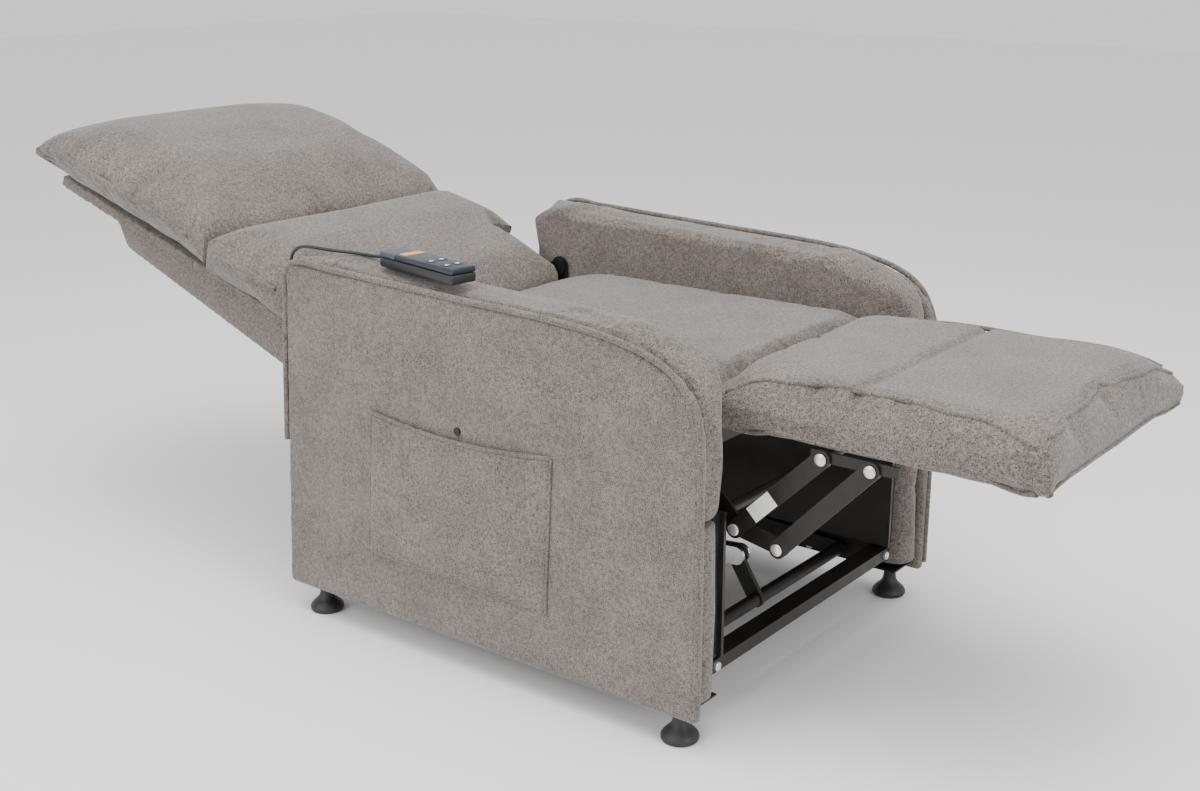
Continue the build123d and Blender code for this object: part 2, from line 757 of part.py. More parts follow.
with BuildPart() as head_pillow:
    with BuildSketch(back_plane(-back_wide - 5)):
        with BuildLine():
            Polyline((pillow_from, board_face + clearance), (pillow_from, 0), (392, 42), (470, 62), (600, 66),
                     (720, 44), (800, -6), (pillow_end, -66), (pillow_end, -90), (826, board_face + clearance),
                     (pillow_from, board_face + clearance))
        make_face()
    extrude(amount=2 * back_wide + 10)
save(head_pillow, "head_pillow")

# ---- Legrest --------------------------------------------------------------------------------
pad_tip = -430.0
with BuildPart() as legrest_pad:
    with BuildSketch(side_plane(-pad_half)):
        with BuildLine():
            Polyline((legrest_pivot[0] - 0.5, legrest_pivot[1]), (legrest_pivot[0] - 0.5, pad_over - 6),
                     (-130, pad_over), (-360, pad_over), (-412, pad_over - 14), (pad_tip, pad_over - 40),
                     (pad_tip + 14, pad_under), (legrest_pivot[0] - miter - 60, pad_under),
                     (legrest_pivot[0] - miter - 60, pad_under + 19), (legrest_pivot[0] - miter + 19 - 0.5, pad_under + 19),
                     (legrest_pivot[0] - 0.5, legrest_pivot[1]))
        make_face()
    extrude(amount=2 * pad_half)
    with BuildSketch(side_plane(-pad_half - 1)):
        with BuildLine():
            Polyline((-398, pad_under - 1), (-398, pad_under + 18.3), (-90, pad_under + 18.3), (-90, pad_under - 1),
                     (-398, pad_under - 1))
        make_face()
    extrude(amount=2 * pad_half + 2, mode=Mode.SUBTRACT)
save(legrest_pad, "legrest_pad")

with BuildPart() as legrest_board:
    with BuildSketch(side_plane(-bracket_layer - steel)):
        with Locations((-257, pad_under + 9)):
            Rectangle(280, 18)
    extrude(amount=2 * (bracket_layer + steel))
save(legrest_board, "legrest_board")

rivet_head = 8.0
rivet_pin = 5.0
with BuildPart() as legrest_brackets:
    for side, sign in sides:
        with BuildSketch(side_plane(sign * bracket_layer)):
            with Locations((-165, 437)):
                Rectangle(130, 15.5)
            with Locations(bracket_rear, bracket_front):
                Circle(13)
            with Locations((-165, 460)):
                Rectangle(200, 30.5, mode=Mode.SUBTRACT)
        extrude(amount=sign * steel)
        with BuildSketch(side_plane(sign * (bracket_layer + steel))):
            with Locations(bracket_rear, bracket_front):
                Circle(rivet_pin)
        extrude(amount=sign * 4.7)
        with BuildSketch(side_plane(sign * (outer_link_layer + steel + 0.1))):
            with Locations(bracket_rear, bracket_front):
                Circle(rivet_head)
        extrude(amount=sign * 2)
save(legrest_brackets, "legrest_brackets")

cross_tube_at = (34.0, 324.0)
with BuildPart() as legrest_main_links:
    for side, sign in sides:
        with BuildSketch(side_plane(sign * main_link_layer)):
            bar_outline(main_link_pivot, knee_rear, link_width)
            bar_outline(knee_rear, knee_front, link_width)
            with Locations(main_link_pivot):
                Circle(pin_radius + hinge_gap, mode=Mode.SUBTRACT)
        extrude(amount=sign * steel)
        with BuildSketch(side_plane(sign * (main_link_layer + steel))):
            with Locations(knee_rear, knee_front):
                Circle(rivet_head)
        extrude(amount=sign * (outer_link_layer - 0.3 - main_link_layer - steel))
    cross_half_length = main_link_layer - 0.1
    with BuildSketch(side_plane(-cross_half_length)):
        with Locations(cross_tube_at):
            Circle(8)
    extrude(amount=2 * cross_half_length)
save(legrest_main_links, "legrest_main_links")

for name, knee, top in (("legrest_rear_links", knee_rear, bracket_rear),
                        ("legrest_front_links", knee_front, bracket_front)):
    with BuildPart() as outer_links:
        for side, sign in sides:
            with BuildSketch(side_plane(sign * outer_link_layer)):
                bar_outline(knee, top, link_width)
                with Locations(top):
                    Circle(rivet_pin + hinge_gap, mode=Mode.SUBTRACT)
            extrude(amount=sign * steel)
            with BuildSketch(side_plane(sign * (outer_link_layer + steel))):
                with Locations(knee):
                    Circle(rivet_head)
            extrude(amount=sign * 2)
    save(outer_links, name)

# Blank label stuck to the right rear link.
label_middle = ((knee_rear[0] * 2 + bracket_rear[0]) / 3, (knee_rear[1] * 2 + bracket_rear[1]) / 3)
label_turn = degrees(atan2(bracket_rear[1] - knee_rear[1], bracket_rear[0] - knee_rear[0]))
with BuildPart() as blank_label:
    with BuildSketch(side_plane(-(outer_link_layer + steel))):
        with Locations(label_middle):
            Rectangle(46, 24, rotation=label_turn)
    extrude(amount=-0.5)
save(blank_label, "blank_label")
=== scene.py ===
import json
import math

import bpy
import numpy as np
from mathutils import Matrix, Vector


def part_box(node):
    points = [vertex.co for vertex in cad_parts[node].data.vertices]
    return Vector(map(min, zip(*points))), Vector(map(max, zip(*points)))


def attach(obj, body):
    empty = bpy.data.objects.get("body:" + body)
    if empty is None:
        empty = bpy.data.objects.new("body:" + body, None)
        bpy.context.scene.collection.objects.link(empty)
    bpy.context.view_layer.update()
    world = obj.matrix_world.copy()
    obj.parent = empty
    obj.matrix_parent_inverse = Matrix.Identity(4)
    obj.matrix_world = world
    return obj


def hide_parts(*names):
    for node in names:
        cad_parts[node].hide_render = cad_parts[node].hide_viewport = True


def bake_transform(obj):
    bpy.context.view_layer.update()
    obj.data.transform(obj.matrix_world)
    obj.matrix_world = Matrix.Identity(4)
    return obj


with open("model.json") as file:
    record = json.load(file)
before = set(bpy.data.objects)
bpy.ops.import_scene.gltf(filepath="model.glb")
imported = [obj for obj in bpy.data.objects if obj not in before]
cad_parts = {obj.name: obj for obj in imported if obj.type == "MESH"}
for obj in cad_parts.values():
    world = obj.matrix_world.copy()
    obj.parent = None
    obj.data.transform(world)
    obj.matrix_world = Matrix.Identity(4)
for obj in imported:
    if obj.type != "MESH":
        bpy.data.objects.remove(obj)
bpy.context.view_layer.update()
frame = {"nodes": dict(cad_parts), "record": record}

# ---- Camera ----
# The chair is seen from its right and a little in front, from about eye height.
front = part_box("right_arm_panel")[0][1]
camera_place = Vector((-1.973, front - 1.0787, 1.1239))
camera_aim = Vector((0.7588, 0.5815, -0.2932))
camera_data = bpy.data.cameras.new("camera")
camera_data.sensor_width = 36
camera_data.lens = 47.18
camera = bpy.data.objects.new("camera", camera_data)
camera.location = camera_place
camera.rotation_euler = camera_aim.to_track_quat("-Z", "Y").to_euler()
bpy.context.scene.collection.objects.link(camera)
bpy.context.scene.camera = camera

# ---- Handset cord ----
# A round black lead, 5.2 mm thick, from the handset back over the arm and down to the control box.
# Both ends pass through a moulded strain relief.
cord_route = (
    (-0.29237, 0.61063, 0.618), (-0.28855, 0.6323, 0.618), (-0.286, 0.658, 0.6155),
    (-0.290, 0.684, 0.617), (-0.299, 0.710, 0.618), (-0.309, 0.738, 0.6195),
    (-0.316, 0.766, 0.622), (-0.319, 0.790, 0.619), (-0.318, 0.808, 0.606),
    (-0.315, 0.816, 0.584), (-0.311, 0.820, 0.556), (-0.307, 0.822, 0.522),
    (-0.302, 0.824, 0.486), (-0.296, 0.827, 0.448), (-0.290, 0.829, 0.408),
    (-0.285, 0.830, 0.366), (-0.284, 0.831, 0.330), (-0.282, 0.8305, 0.304),
    (-0.279, 0.829, 0.283), (-0.276, 0.8215, 0.266), (-0.2735, 0.807, 0.257),
    (-0.2735, 0.790, 0.257),
)
cord_diameter = 0.0052


def place(x, depth, height):
    """A point by its depth behind the front of the arms."""
    return Vector((x, front + depth, height))


def deselect():
    for other in bpy.context.selected_objects:
        other.select_set(False)


def activate(piece):
    deselect()
    piece.select_set(True)
    bpy.context.view_layer.objects.active = piece


def settle(piece, name):
    """Names a new piece and puts its place and turn into its mesh."""
    activate(piece)
    bpy.ops.object.transform_apply(location=True, rotation=True, scale=True)
    piece.name = name
    return piece


def paint(piece, finish):
    """Gives the whole piece one finish."""
    if not piece.material_slots:
        piece.data.materials.append(finish)
    for slot in piece.material_slots:
        slot.material = finish


def new_finish(name, colour, roughness, metallic=0.0):
    """A principled finish and a function that adds a texture node to it."""
    finish = bpy.data.materials.new(name)
    finish.use_nodes = True
    tree = finish.node_tree
    shader = tree.nodes["Principled BSDF"]
    shader.inputs["Base Color"].default_value = (*colour, 1)
    shader.inputs["Roughness"].default_value = roughness
    shader.inputs["Metallic"].default_value = metallic
    place_node = tree.nodes.new("ShaderNodeTexCoord")

    def texture(kind, **values):
        node = tree.nodes.new(kind)
        for key, value in values.items():
            node.inputs[key].default_value = value
        tree.links.new(place_node.outputs["Object"], node.inputs["Vector"])
        return node

    return finish, tree, shader, texture


def ramp(tree, source, stops):
    """A colour ramp fed by a value: stops are (position, colour)."""
    node = tree.nodes.new("ShaderNodeValToRGB")
    elements = node.color_ramp.elements
    while len(elements) < len(stops):
        elements.new(0.5)
    for element, (position, colour) in zip(elements, stops):
        element.position = position
        element.color = (*colour, 1)
    tree.links.new(source, node.inputs["Fac"])
    return node


def bump(tree, shader, source, strength, distance):
    node = tree.nodes.new("ShaderNodeBump")
    node.inputs["Strength"].default_value = strength
    node.inputs["Distance"].default_value = distance
    tree.links.new(source, node.inputs["Height"])
    tree.links.new(node.outputs["Normal"], shader.inputs["Normal"])


def mottled_finish(name, dark, light, scale, roughness, metallic=0.0, grain=900.0, depth=0.0002):
    """Paint, moulding or metal: slow changes of colour and gloss, and a fine grain."""
    finish, tree, shader, texture = new_finish(name, light, roughness[1], metallic)
    cloud = texture("ShaderNodeTexNoise", Scale=scale, Detail=6.0, Roughness=0.6)
    colour = ramp(tree, cloud.outputs["Fac"], ((0.32, dark), (0.68, light)))
    tree.links.new(colour.outputs["Color"], shader.inputs["Base Color"])
    gloss = ramp(tree, cloud.outputs["Fac"], ((0.3, (roughness[0],) * 3), (0.7, (roughness[1],) * 3)))
    tree.links.new(gloss.outputs["Color"], shader.inputs["Roughness"])
    fine = texture("ShaderNodeTexNoise", Scale=grain, Detail=3.0)
    bump(tree, shader, fine.outputs["Fac"], 0.25, depth)
    return finish


def tube(name, points, radius, finish):
    """A round cord or piping through the points, as a closed mesh."""
    curve = bpy.data.curves.new(name, "CURVE")
    curve.dimensions = "3D"
    curve.resolution_u = 6
    curve.bevel_depth = radius
    curve.bevel_resolution = 3
    curve.use_fill_caps = True
    spline = curve.splines.new("BEZIER")
    spline.bezier_points.add(len(points) - 1)
    for knot, point in zip(spline.bezier_points, points):
        knot.co = point
        knot.handle_left_type = "AUTO"
        knot.handle_right_type = "AUTO"
    piece = bpy.data.objects.new(name, curve)
    bpy.context.scene.collection.objects.link(piece)
    activate(piece)
    bpy.ops.object.convert(target="MESH")
    piece = bpy.context.object
    bpy.ops.object.mode_set(mode="EDIT")
    bpy.ops.mesh.select_all(action="SELECT")
    bpy.ops.mesh.remove_doubles(threshold=0.00002)
    bpy.ops.mesh.normals_make_consistent(inside=False)
    bpy.ops.object.mode_set(mode="OBJECT")
    bpy.ops.object.shade_smooth()
    paint(piece, finish)
    return piece


black_plastic = mottled_finish("moulded_black", (0.012, 0.012, 0.013), (0.022, 0.022, 0.024), 60,
                               (0.38, 0.5))
lead = bpy.data.curves.new("handset_lead", "CURVE")
lead.dimensions = "3D"
lead.resolution_u = 10
lead.bevel_depth = cord_diameter / 2
lead.bevel_resolution = 3
lead.use_fill_caps = True
strand = lead.splines.new("NURBS")
strand.points.add(len(cord_route) - 1)
for knot, point in zip(strand.points, cord_route):
    knot.co = (*place(*point), 1)
strand.order_u = 3
strand.use_endpoint_u = True
handset_lead = bpy.data.objects.new("handset_lead", lead)
bpy.context.scene.collection.objects.link(handset_lead)
lead.materials.append(black_plastic)
for name, start, toward, length in (("handset_relief", cord_route[0], cord_route[1], 0.022),
                                    ("box_relief", cord_route[-1], cord_route[-2], 0.016)):
    run = (place(*toward) - place(*start)).normalized()
    deselect()
    bpy.ops.mesh.primitive_cone_add(vertices=24, radius1=0.0052, radius2=0.0031, depth=length)
    relief = bpy.context.object
    relief.rotation_euler = run.to_track_quat("Z", "Y").to_euler()
    relief.location = place(*start) + run * (length / 2 - 0.001)
    settle(relief, name)
    bpy.ops.object.mode_set(mode="EDIT")
    bpy.ops.mesh.bevel(offset=0.0004, segments=2)
    bpy.ops.object.mode_set(mode="OBJECT")
    bpy.ops.object.shade_smooth_by_angle(angle=math.radians(40))
    paint(relief, black_plastic)
    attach(relief, "chassis")
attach(handset_lead, "chassis")
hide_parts("handset_cord")

# ---- Seat cushion ----
# A foam block in grey-brown chenille, which fills the space between the arms.
# The same cloth covers every soft part of the chair.
chenille_dark = (0.030, 0.026, 0.023)
chenille_mid = (0.128, 0.111, 0.099)
chenille_light = (0.262, 0.233, 0.211)


def chenille_finish(name, tint=1.0):
    """Chenille: pale and dark yarn twisted together, so it is speckled, with soft worn clouds."""
    finish, tree, shader, texture = new_finish(name, chenille_mid, 0.92)
    shader.inputs["Sheen Weight"].default_value = 0.25
    shader.inputs["Sheen Roughness"].default_value = 0.5
    shader.inputs["Specular IOR Level"].default_value = 0.18
    cloud = texture("ShaderNodeTexNoise", Scale=11.0, Detail=5.0, Roughness=0.62)
    blotch = texture("ShaderNodeTexNoise", Scale=190.0, Detail=4.0, Roughness=0.7)
    speck = texture("ShaderNodeTexNoise", Scale=520.0, Detail=2.0, Roughness=0.6)
    yarn = texture("ShaderNodeTexVoronoi", Scale=430.0, Randomness=0.85)
    base = ramp(tree, blotch.outputs["Fac"],
                ((0.34, [tint * c for c in chenille_mid]), (0.66, [tint * c for c in chenille_light])))
    clouds = ramp(tree, cloud.outputs["Fac"], ((0.3, (0.80, 0.79, 0.78)), (0.7, (1.06, 1.06, 1.06))))
    specks = ramp(tree, speck.outputs["Fac"],
                  ((0.36, [c / chenille_mid[0] for c in chenille_dark]), (0.50, (1, 1, 1))))
    first = tree.nodes.new("ShaderNodeMix")
    first.data_type = "RGBA"
    first.blend_type = "MULTIPLY"
    first.inputs["Factor"].default_value = 1.0
    tree.links.new(base.outputs["Color"], first.inputs["A"])
    tree.links.new(clouds.outputs["Color"], first.inputs["B"])
    second = tree.nodes.new("ShaderNodeMix")
    second.data_type = "RGBA"
    second.blend_type = "MULTIPLY"
    second.inputs["Factor"].default_value = 0.95
    tree.links.new(first.outputs["Result"], second.inputs["A"])
    tree.links.new(specks.outputs["Color"], second.inputs["B"])
    tree.links.new(second.outputs["Result"], shader.inputs["Base Color"])
    height = tree.nodes.new("ShaderNodeMath")
    height.operation = "MULTIPLY_ADD"
    height.inputs[1].default_value = 0.6
    tree.links.new(speck.outputs["Fac"], height.inputs[0])
    tree.links.new(yarn.outputs["Distance"], height.inputs[2])
    bump(tree, shader, height.outputs["Value"], 0.55, 0.0012)
    return finish


chenille = chenille_finish("chenille")
piping = chenille_finish("chenille_piping", 0.92)
welt = 0.0046  # radius of the piping
voxel = 0.006
filling_frames = 20


def points_of(piece):
    flat = np.empty(len(piece.data.vertices) * 3)
    piece.data.vertices.foreach_get("co", flat)
    return flat.reshape(-1, 3)


def set_points(piece, points):
    piece.data.vertices.foreach_set("co", np.asarray(points, float).ravel())
    piece.data.update()


def soft_form(name, nodes, inset, smoothing, size=voxel, extra=()):
    """One closed skin over these foam blocks, with rounded edges."""
    copies = []
    for node in nodes:
        block = bpy.data.objects.new(name, frame["nodes"][node].data.copy())
        bpy.context.scene.collection.objects.link(block)
        copies.append(block)
    deselect()
    for block in [*copies, *extra]:
        block.select_set(True)
    bpy.context.view_layer.objects.active = copies[0]
    if len(copies) + len(extra) > 1:
        bpy.ops.object.join()
    piece = bpy.context.object
    piece.name = name
    piece.data.materials.clear()
    activate(piece)
    bpy.ops.object.mode_set(mode="EDIT")
    bpy.ops.mesh.select_all(action="SELECT")
    bpy.ops.mesh.remove_doubles(threshold=0.00005)
    bpy.ops.object.mode_set(mode="OBJECT")
    skin = piece.modifiers.new("skin", "REMESH")
    skin.mode = "VOXEL"
    skin.voxel_size = size
    bpy.ops.object.modifier_apply(modifier="skin")
    round_off = piece.modifiers.new("round", "SMOOTH")
    round_off.factor = 0.5
    round_off.iterations = smoothing
    bpy.ops.object.modifier_apply(modifier="round")
    if inset:
        shrink = piece.modifiers.new("shrink", "DISPLACE")
        shrink.strength = -inset
        shrink.mid_level = 0.0
        bpy.ops.object.modifier_apply(modifier="shrink")
    paint(piece, chenille)
    return piece


def swell(piece, pressure, cap, low, high):
    """Fills the cover: cloth under pressure. No point moves further than the cap, or out of the box."""
    rest = points_of(piece)
    cloth = piece.modifiers.new("fill", "CLOTH")
    cloth.settings.use_pressure = True
    cloth.settings.uniform_pressure_force = pressure
    cloth.settings.quality = 4
    cloth.settings.mass = 0.3
    cloth.settings.effector_weights.gravity = 0
    cloth.collision_settings.use_collision = False
    cloth.point_cache.frame_start = 1
    cloth.point_cache.frame_end = filling_frames
    for step in range(1, filling_frames + 1):
        bpy.context.scene.frame_set(step)
    activate(piece)
    bpy.ops.object.modifier_apply(modifier="fill")
    bpy.context.scene.frame_set(1)
    moved = points_of(piece) - rest
    reach = np.linalg.norm(moved, axis=1, keepdims=True)
    rest = rest + moved * np.minimum(1, cap / np.maximum(reach, 1e-9))
    set_points(piece, np.clip(rest, low, high))


def fit(piece, *spans):
    """Stretches the filled cover to its full size, from low to high in each direction."""
    points = points_of(piece)
    for direction, low, high in spans:
        direction = np.array(direction)
        reach = points @ direction
        wanted = low + (reach - reach.min()) * (high - low) / (reach.max() - reach.min())
        points = points + (wanted - reach)[:, None] * direction
    set_points(piece, points)


def fit_box(piece, low, high):
    fit(piece, *[(np.eye(3)[axis], low[axis], high[axis]) for axis in range(3)])


def refine(piece):
    """One subdivision, and smooth shading."""
    activate(piece)
    finer = piece.modifiers.new("finer", "SUBSURF")
    finer.levels = 1
    finer.render_levels = 1
    bpy.ops.object.modifier_apply(modifier="finer")
    bpy.ops.object.shade_smooth()


def groove(piece, distance, depth, width, where=None):
    """Pulls the cover in along a seam. Distance is each point's distance from the seam."""
    points = points_of(piece)
    flat = np.empty(len(points) * 3)
    piece.data.vertex_normals.foreach_get("vector", flat)
    normals = flat.reshape(-1, 3)
    pull = depth * np.exp(-((distance / width) ** 2))
    if where is not None:
        pull = pull * where
    set_points(piece, points - normals * pull[:, None])


seat = soft_form("seat_cushion_cover", ["seat_cushion"], 0.005, 6)
seat_low, seat_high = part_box("seat_cushion")
swell(seat, 4.0, 0.022, Vector(seat_low), Vector(seat_high) + Vector((0, 0, 0.014)))
fit_box(seat, seat_low, Vector(seat_high) + Vector((0, 0, 0.012)))
refine(seat)
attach(seat, "chassis")
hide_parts("seat_cushion")

# ---- Legrest cover ----
# One padded cover runs from the front edge of the seat over the legrest.
# It is sewn across twice, and piped along its edges.
notch_low = 0.447
notch_high = 0.506
pad_base = 0.445
edge_keep = 0.34  # share of its thickness that the cover keeps at its edges
underside = 0.4435
crown_half = 0.2465
crown_front = -0.300  # the cover thins from here to its front edge
crown_run = 0.132
crease_depths = (-0.150, 0.050)
deselect()
bpy.ops.mesh.primitive_cube_add(size=1, location=place(0, -0.183, (notch_low + notch_high) / 2))
filler = bpy.context.object
filler.scale = (0.491, 0.486, notch_high - notch_low)
settle(filler, "filler")
cover = soft_form("legrest_cover", ["seat_flap", "legrest_pad"], 0.001, 6, extra=[filler])
spots = points_of(cover)
aside = np.clip(np.abs(spots[:, 0]) / crown_half, 0, 1) ** 5
ahead = np.clip((front + crown_front - spots[:, 1]) / crown_run, 0, 1) ** 2.5
rise = np.sqrt(np.clip(1 - aside, 0, 1)) * np.sqrt(np.clip(1 - ahead, 0, 1))
spots[:, 2] = pad_base + (spots[:, 2] - pad_base) * (edge_keep + (1 - edge_keep) * rise)
set_points(cover, spots)
pad_low, pad_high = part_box("legrest_pad")
flap_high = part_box("seat_flap")[1]
low = Vector((pad_low[0], pad_low[1] - 0.004, underside))
high = Vector((pad_high[0], flap_high[1] + 0.003, pad_high[2] + 0.012))
swell(cover, 4.0, 0.020, low, high)
fit(cover, ((1, 0, 0), low.x, high.x), ((0, 1, 0), low.y, high.y))
refine(cover)
spots = points_of(cover)
on_top = np.clip((spots[:, 2] - 0.47) / 0.03, 0, 1)
groove(cover, spots[:, 1] - (front + crease_depths[0]), 0.007, 0.009, on_top)
spots = points_of(cover)
groove(cover, spots[:, 1] - (front + crease_depths[1]), 0.006, 0.010, on_top)
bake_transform(cover)
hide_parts("seat_flap", "legrest_pad", "legrest_board")

# ---- Backrest cushions ----
# The lumbar cushion and the head pillow are separate fibre-filled bags, sewn to one cover.
# They are full in the middle, and draw in to a piped edge at each side.
slope = math.radians(17)
hinge = place(0, 0.715, 0.500)
up_back = Vector((0, math.cos(slope), math.sin(slope)))
to_sitter = Vector((0, -math.sin(slope), math.cos(slope)))


def on_back(x, up, out):
    """A point on the backrest: up along it from the hinge, and out towards the sitter."""
    return hinge + Vector((x, 0, 0)) + up_back * up + to_sitter * out


def draw_in(piece, half, middle, least, sharpness):
    """Thins the cushion towards its sides, about a line at its middle."""
    points = points_of(piece)
    out = (points - np.array(hinge)) @ np.array(to_sitter)
    share = np.clip(np.abs(points[:, 0]) / half, 0, 1) ** sharpness
    keep = least + (1 - least) * np.sqrt(np.clip(1 - share, 0, 1))
    change = (out - middle) * (keep - 1)
    set_points(piece, points + change[:, None] * np.array(to_sitter))


for name, node, half, middle, least, sharpness, pressure, cap, ups, outs in (
        ("lumbar_cover", "lumbar_cushion", 0.297, -0.045, 0.62, 5, 4.0, 0.020,
         (-0.025, 0.362), (-0.0985, 0.044)),
        ("pillow_cover", "head_pillow", 0.302, -0.030, 0.50, 4, 4.5, 0.026,
         (0.346, 0.842), (-0.0985, 0.070))):
    bag = soft_form(name, [node], 0.010, 8)
    draw_in(bag, half, middle, least, sharpness)
    node_low, node_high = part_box(node)
    swell(bag, pressure, cap, Vector(node_low) - Vector((0.0, 0.006, 0.0)),
          Vector(node_high) + Vector((0.0, 0.006, 0.012)))
    fit(bag, ((1, 0, 0), -half, half), (up_back, hinge.dot(up_back) + ups[0], hinge.dot(up_back) + ups[1]),
        (to_sitter, hinge.dot(to_sitter) + outs[0], hinge.dot(to_sitter) + outs[1]))
    refine(bag)
    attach(bag, "backrest")
    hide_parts(node)

deselect()
bpy.ops.mesh.primitive_cube_add(size=1)
wrap = bpy.context.object
wrap.scale = (0.468, 0.838, 0.0245)
wrap.rotation_euler = (slope, 0, 0)
wrap.location = on_back(0, 0.412, -0.109)
settle(wrap, "board_wrap")
shell = soft_form("back_shell_cover", ["back_shell"], 0.0, 3, extra=[wrap])
refine(shell)
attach(shell, "backrest")
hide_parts("back_shell")

# ---- Arms ----
# Each arm is an upholstered board on the outside, a padded top that falls down its inner face,
# and a padded roll at the front.
for side in ("right", "left"):
    panel = soft_form(f"{side}_arm_panel_cover", [f"{side}_arm_panel"], 0.0, 3, size=0.005)
    activate(panel)
    bpy.ops.object.shade_smooth()
    spots = points_of(panel)
    depth = spots[:, 1] - front
    seam_height = np.interp(depth, (0.02, 0.08, 0.16, 0.25, 0.67), (0.531, 0.512, 0.497, 0.490, 0.486))
    groove(panel, spots[:, 2] - seam_height, 0.0016, 0.006, np.clip((0.74 - depth) / 0.08, 0, 1))
    roll = soft_form(f"{side}_arm_roll_cover", [f"{side}_arm_front_roll"], 0.003, 8, size=0.005)
    roll_low, roll_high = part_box(f"{side}_arm_front_roll")
    swell(roll, 3.0, 0.008, Vector(roll_low) - Vector((0, 0.004, 0)), Vector(roll_high))
    fit_box(roll, roll_low, roll_high)
    refine(roll)
    top = soft_form(f"{side}_arm_top_cover", [f"{side}_arm_top_pad"], 0.004, 16)
    top_low, top_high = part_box(f"{side}_arm_top_pad")
    spots = points_of(top)
    fall = np.clip((spots[:, 1] - front - 0.690) / 0.105, 0, 1) ** 2
    inward = np.clip((0.335 - np.abs(spots[:, 0])) / 0.05, 0, 1)
    spots[:, 2] -= 0.040 * fall * inward * np.clip((spots[:, 2] - 0.40) / 0.2, 0, 1)
    set_points(top, spots)
    swell(top, 3.0, 0.012, Vector(top_low), Vector(top_high) + Vector((0, 0, 0.003)))
    fit_box(top, top_low, top_high)
    refine(top)
    for cover_piece, node, fill in ((panel, "arm_panel", 1.0), (roll, "arm_front_roll", 0.8),
                                    (top, "arm_top_pad", 0.8)):
        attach(cover_piece, "chassis")
        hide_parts(f"{side}_{node}")

# ---- Piping ----
# A covered cord is sewn into the seams: round the outer edge of each arm, along the legrest's edges,
# and along both sides of the lumbar cushion and the head pillow.
arm_edge = (
    (0.812, 0.300), (0.797, 0.520), (0.786, 0.590), (0.770, 0.600), (0.700, 0.599), (0.540, 0.594),
    (0.400, 0.590), (0.250, 0.586), (0.180, 0.581), (0.128, 0.573), (0.080, 0.560), (0.040, 0.537),
    (0.018, 0.505), (0.006, 0.465), (0.002, 0.425), (0.001, 0.300), (0.001, 0.180), (0.001, 0.058),
)


def seam_line(piece, stations, across, spread=0.006):
    """Points on a cover's edge: at each station, its furthest point in the given direction."""
    points = points_of(piece)
    reach = points @ np.array(across)
    found = []
    for axis, start, value in stations:
        near = np.abs((points - np.array(start)) @ np.array(axis) - value) < spread
        if near.any():
            found.append(Vector(points[near][np.argmax(reach[near])]))
    return found


for side, sign in (("right", -1), ("left", 1)):
    arm_line = [place(sign * 0.3480, d - 0.001, z + 0.002) for d, z in arm_edge]
    edge = tube(f"{side}_arm_piping", arm_line, welt, piping)
    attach(edge, "chassis")
    for bag_name, ups in (("lumbar", (0.17, 0.21, 0.25, 0.29, 0.325)),
                          ("pillow", (0.385, 0.45, 0.52, 0.60, 0.68, 0.75, 0.80))):
        line = seam_line(bpy.data.objects[f"{bag_name}_cover"],
                         [(up_back, hinge, up) for up in ups], Vector((sign, 0, 0)))
        side_edge = tube(f"{side}_{bag_name}_piping", line, welt, piping)
        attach(side_edge, "backrest")
    for level, tilt in (("upper", 1.4), ("lower", -1.0)):
        line = seam_line(cover, [(Vector((0, 1, 0)), place(0, 0, 0), d) for d in (
            0.045, 0.0, -0.05, -0.10, -0.16, -0.22, -0.28, -0.34, -0.385, -0.408)], Vector((sign, 0, tilt)))
        strip = tube(f"{side}_legrest_{level}_piping", line, welt * 0.8, piping)
        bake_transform(strip)
for level, tilt in (("upper", 1.4), ("lower", -1.0)):
    line = seam_line(cover, [(Vector((1, 0, 0)), Vector((0, 0, 0)), x / 100) for x in range(-23, 24, 2)],
                     Vector((0, -1, tilt)))
    strip = tube(f"front_legrest_{level}_piping", line, welt * 0.8, piping)
    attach(strip, "legrest")

# ---- Side pocket ----
# A patch of the same cloth sewn to the outside of the right arm on three sides.
# Its mouth is hemmed, sags a little, and closes with a snap.
pocket_corners = ((0.625, 0.152), (0.265, 0.146), (0.607, 0.388), (0.251, 0.388))
pocket_sag = 0.012
pocket_belly = 0.0062


def pocket_point(across, up, lift=0.0):
    low_edge = [a + (b - a) * across for a, b in zip(pocket_corners[0], pocket_corners[1])]
    high_edge = [a + (b - a) * across for a, b in zip(pocket_corners[2], pocket_corners[3])]
    depth, height = (a + (b - a) * up for a, b in zip(low_edge, high_edge))
    arch = math.sin(math.pi * across)
    height -= pocket_sag * arch * up ** 3
    out = 0.3520 + lift + pocket_belly * arch ** 0.7 * (math.sin(math.pi * up) * 0.5 + up * 0.6)
    return place(-out, depth, height)


deselect()
bpy.ops.mesh.primitive_grid_add(x_subdivisions=48, y_subdivisions=34, size=1)
pocket = bpy.context.object
pocket.name = "side_pocket_cloth"
set_points(pocket, [pocket_point(x + 0.5, y + 0.5) for x, y, z in points_of(pocket)])
bpy.ops.object.mode_set(mode="EDIT")
bpy.ops.mesh.select_all(action="SELECT")
bpy.ops.mesh.normals_make_consistent(inside=False)
bpy.ops.object.mode_set(mode="OBJECT")
thicken = pocket.modifiers.new("thickness", "SOLIDIFY")
thicken.thickness = 0.0022
thicken.offset = 0
bpy.ops.object.modifier_apply(modifier="thickness")
bpy.ops.object.shade_smooth()
paint(pocket, chenille)
steps = [i / 16 for i in range(17)]
hem = tube("pocket_hem", [pocket_point(s, 1.0, 0.0008) for s in steps], 0.0030, piping)
edge_points = ([pocket_point(0, 1 - s) for s in steps] + [pocket_point(s, 0) for s in steps[1:]]
               + [pocket_point(1, s) for s in steps[1:]])
